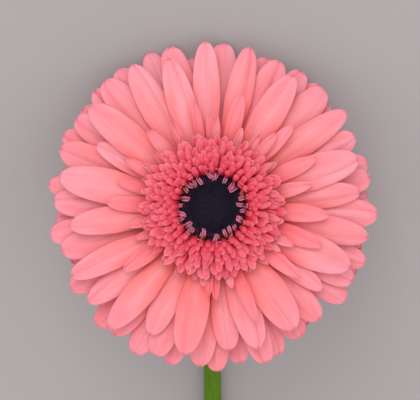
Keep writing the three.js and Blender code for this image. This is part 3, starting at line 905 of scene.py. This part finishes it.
def bract_path(row, spread):
    """The midline of a bract, up the side of the receptacle and out under the lowest florets."""
    off = GAP + BRACT_THICKNESS / 2 + row * (BRACT_THICKNESS + GAP)
    tip = CLAW_RADIUS + spread
    under = level_height(0, tip) - FLORET_THICKNESS / 2 - GAP - 2 * row
    step = 0.8 * off
    return curve_through([(r + step, h - step) for r, h in [*GOBLET, (tip, under)]], BRACT_STEPS[0])


def make_bracts(material):
    """Keeled, tapering bracts in staggered rows."""
    piles = {}
    n, m = BRACT_STEPS
    v, w = np.linspace(0, 1, n), np.linspace(-1, 1, m)
    keel = 0.12 * np.exp(-((w / 0.2) ** 2))
    section = np.tile(-(keel - 0.3 * w**2), (n, 1))
    taper = (0.5 + 0.5 * smooth(v, 0, 0.45)) * (1 - 0.93 * smooth(v, 0.5, 1.0) ** 1.3)
    thickness = 0.12 + 0.4 * np.tile(1 - np.abs(w) ** 4, (n, 1)) * (1 - 0.6 * v[:, None])
    for node, row, count, spread, half in BRACT_ROWS:
        pile = piles.setdefault(node, Pile())
        stagger = 0.5 * (row * 2 % 2)
        for k in range(count):
            azimuth = 360 * (k + stagger + random.uniform(-0.12, 0.12)) / count
            path = bract_path(row, spread * random.uniform(0.85, 1.05))
            width = half * random.uniform(0.85, 1.1) * taper
            add_leaf(pile, azimuth, path, width, section, thickness, random.uniform(0, 1), random.normal(0, 4))
    for node, pile in piles.items():
        pile.piece(node.replace("bracts", "involucre"), node, "bract", material)


# ---- The stem ----
def stem_line(n):
    """Points down from the receptacle, round the neck and along the table, and the radius at each."""
    top = to_world(np.array([0, 0, GOBLET_BOTTOM - GAP]))
    drop = (top[2] - STEM_RADIUS) / HEAD_Z[2]
    foot = np.array([ORIGIN[0], ORIGIN[1] - NECK_REACH, 0])
    touch = foot + np.array([0, 0, STEM_RADIUS])
    handles = [top, top - HEAD_Z * 0.75 * drop, touch + np.array([0, drop, 0]), touch]
    t = np.linspace(0, 1, n // 4)[:, None]
    neck = sum(c * (1 - t) ** (3 - i) * t**i * p for i, (c, p) in enumerate(zip((1, 3, 3, 1), handles)))
    run = np.linspace(0, 1, n - n // 4 + 1)[1:]
    radius = lerp(STEM_RADIUS, STEM_END_RADIUS, run)
    swing = ORIGIN[0] + STEM_BOW * np.sin(math.pi * run**2) ** 2
    lying = np.stack([swing, ORIGIN[1] - lerp(NECK_REACH, STEM_LENGTH, run), radius], 1)
    radii = np.concatenate([np.linspace(NECK_RADIUS, STEM_RADIUS, n // 4), radius])
    return np.concatenate([neck, lying]), radii


STEM_RINGS = 240
STEM_SIDES = 60
STEM_RIBS = 11
RIB_DEPTH = 0.022  # as a share of the stem's radius
DENT_DEPTH = 0.012
SKIN_REPEATS = 12  # how often the skin's pattern repeats down the stem
SKIN_SPAN = 0.75  # the part of that pattern that is used, short of its tip colour


def make_stem(skin, cut):
    """The ribbed stem, and the line and radii that it follows, for what grows on it."""
    line, radii = stem_line(STEM_RINGS)
    turn = turns(STEM_SIDES)
    far = np.linspace(0, 1, STEM_RINGS)[:, None]
    ribs = 1 - RIB_DEPTH * (0.5 - 0.5 * np.cos(STEM_RIBS * turn + 1.5 * np.sin(5 * far)))
    ribs = ribs - DENT_DEPTH * (0.5 + 0.5 * np.sin(3 * turn + 9 * far) * np.sin(31 * far))
    points = bar_points(line, radii, STEM_SIDES, ribs)
    points[:, 2] = np.maximum(points[:, 2], TABLE_GAP)
    along = np.append(np.repeat(np.linspace(0, SKIN_SPAN, STEM_RINGS), STEM_SIDES), [0, SKIN_SPAN])
    along = along * SKIN_REPEATS % SKIN_SPAN
    across = np.append(np.tile(np.abs(turn / math.pi - 1), STEM_RINGS), [0, 0])
    pile = Pile()
    pile.add(points, tube_faces(STEM_RINGS, STEM_SIDES), along=along, across=across, tone=0.3)
    pile.piece("stem_skin", "stem", "stem", skin)
    make_cut(line, radii, cut)
    return line, radii


# The section of the cut face, from its rim to its middle: a share of the stem's radius, how far it stands out.
CUT_FACE = np.array([
    (0.93, -0.3), (0.955, -0.02), (0.94, 0.06), (0.86, 0.1), (0.7, 0.12), (0.5, 0.115), (0.3, 0.1), (0.2, 0.05),
    (0.12, 0.03),
])


def make_cut(line, radii, material):
    """The cut face: a thin plug on the stem's end, sunk to a small hollow in its pith."""
    way = line[-1] - line[-2]
    way /= np.linalg.norm(way)
    share, out = CUT_FACE.T
    spine = line[-1] + out[:, None] * way
    sides = 48
    turn = turns(sides)
    across = np.cross(way, [0, 0, 1.0])
    up = np.cross(across, way)
    rings = []
    for centre, reach in zip(spine, share * radii[-1]):
        rings.append(centre + np.outer(np.cos(turn), across) * reach + np.outer(np.sin(turn), up) * reach)
    points = np.concatenate(rings + [spine[:1], spine[-1:]])
    from_middle = np.append(np.repeat(share, sides), [0.9, 0.0])
    pile = Pile()
    faces = [face[::-1] for face in tube_faces(len(share), sides)]
    pile.add(points, faces, across=from_middle)
    pile.piece("stem_cut", None, "stem", material)


HAIRS_ON_STEM = 6000
HAIR_RADIUS = 0.018
HAIR_DEPTH = 0.1  # how deep a hair is rooted in the skin


def add_hair(pile, root, way, length):
    """A three-sided hair, closed at its root, that droops a little."""
    side = np.cross(way, [0.3, 0.5, 0.8])
    side /= np.linalg.norm(side)
    other = np.cross(way, side)
    droop = np.array([0, 0, -0.12 * length])
    turn = turns(3)
    ring = (np.outer(np.cos(turn), side) + np.outer(np.sin(turn), other)) * HAIR_RADIUS
    foot, middle, tip = root - HAIR_DEPTH * way, root + 0.5 * length * way, root + length * way + droop
    points = np.concatenate([foot + ring, middle + ring * 0.7, [foot], [tip]])
    points[:, 2] = np.maximum(points[:, 2], TABLE_GAP)
    pile.add(points, tube_faces(2, 3))


def make_down(material, line, radii):
    """Short hairs all over the stem, but for where it lies on the table."""
    pile = Pile()
    tangents = np.gradient(line, axis=0)
    tangents /= np.linalg.norm(tangents, axis=1, keepdims=True)
    steps = np.append(0, np.cumsum(np.linalg.norm(np.diff(line, axis=0), axis=1)))
    for _ in range(HAIRS_ON_STEM):
        at = random.uniform(0.002, 0.995) * steps[-1]
        point = np.array([np.interp(at, steps, line[:, k]) for k in range(3)])
        tangent = np.array([np.interp(at, steps, tangents[:, k]) for k in range(3)])
        radius = np.interp(at, steps, radii)
        angle = random.uniform(0, 2 * math.pi)
        across = np.cross(tangent, [0.0, 0.3, 1.0])
        across /= np.linalg.norm(across)
        out = math.cos(angle) * across + math.sin(angle) * np.cross(across, tangent)
        way = out + random.normal(0, 0.25, 3) - 0.25 * tangent
        way /= np.linalg.norm(way)
        length = random.uniform(0.4, 1.05)
        root = point + out * radius * 0.985
        if (root + way * length)[2] > 3 * TABLE_GAP:
            add_hair(pile, root, way, length)
    pile.piece("stem_down", None, "stem", material)


# ---- Stage ----
FLOOR_SIZE = 8  # metres
FLOOR_HEIGHT = -0.00005  # metres, just under the lowest petal


def make_floor(material):
    bpy.ops.mesh.primitive_plane_add(size=FLOOR_SIZE, location=(0, 0, FLOOR_HEIGHT))
    floor = bpy.context.object
    floor.name = "floor"
    floor.data.materials.append(material)


VIEW_DISTANCE = 650
VIEW_WIDTH = 141.1  # across the picture, at the head
SENSOR_WIDTH = 36
AIM = np.array([-0.85, 2.4, -1.0])  # what the camera looks at, in the head's frame
KEY_PLACE = np.array([-450.0, 1350.0, 2600.0])  # where the light is, in the head's frame


def make_camera():
    """Looks straight at the face, with the stem towards the bottom of the picture."""
    data = bpy.data.cameras.new("camera")
    data.sensor_width = SENSOR_WIDTH
    data.lens = SENSOR_WIDTH * VIEW_DISTANCE / VIEW_WIDTH
    data.clip_start, data.clip_end = 0.01, 20
    camera = bpy.data.objects.new("camera", data)
    place = to_world(AIM + np.array([0, 0, VIEW_DISTANCE])) * MM
    rows = [[HEAD_X[i], HEAD_Y[i], HEAD_Z[i], place[i]] for i in range(3)]
    camera.matrix_world = Matrix([*rows, [0, 0, 0, 1]])
    bpy.context.scene.collection.objects.link(camera)
    bpy.context.scene.camera = camera


def make_studio():
    """Even light from all round, and one large soft light above the head's upper left."""
    world = bpy.data.worlds.new("studio")
    world.use_nodes = True
    backdrop = world.node_tree.nodes["Background"]
    backdrop.inputs["Color"].default_value = (1.0, 0.99, 1.0, 1)
    backdrop.inputs["Strength"].default_value = 0.95
    bpy.context.scene.world = world
    data = bpy.data.lights.new("key", "AREA")
    data.shape = "SQUARE"
    data.size = 1.6
    data.energy = 29.0
    data.color = (1.0, 0.985, 1.0)
    light = bpy.data.objects.new("key", data)
    light.location = Vector(to_world(KEY_PLACE) * MM)
    light.rotation_euler = (Vector(ORIGIN * MM) - light.location).to_track_quat("-Z", "Y").to_euler()
    bpy.context.scene.collection.objects.link(light)
    bpy.context.scene.view_settings.view_transform = "Standard"


# ---- Everything ----
make_camera()
make_studio()
make_floor(floor_look())
make_rays(floret_look("ray_petal", **FLORET_COLOURS["ray_petal"]))
make_trans(floret_look("trans_petal", **FLORET_COLOURS["trans_petal"]))
make_crown(floret_look("inner_petal", **FLORET_COLOURS["inner_petal"]))
make_open_florets(lip_look(), anther_look(), stigma_look())
make_disc(bud_look())
bract_green = green_look(
    "bract", dark=(0.1, 0.19, 0.035), light=(0.26, 0.38, 0.12), tip=(0.22, 0.12, 0.1), veins=4.0)
stem_green = green_look(
    "stem", dark=(0.062, 0.155, 0.003), light=(0.125, 0.26, 0.007), tip=(0.11, 0.21, 0.01), veins=14.0)
make_receptacle(bract_green)
make_bracts(bract_green)
stem_points, stem_radii = make_stem(stem_green, cut_look())
make_down(down_look(), stem_points, stem_radii)
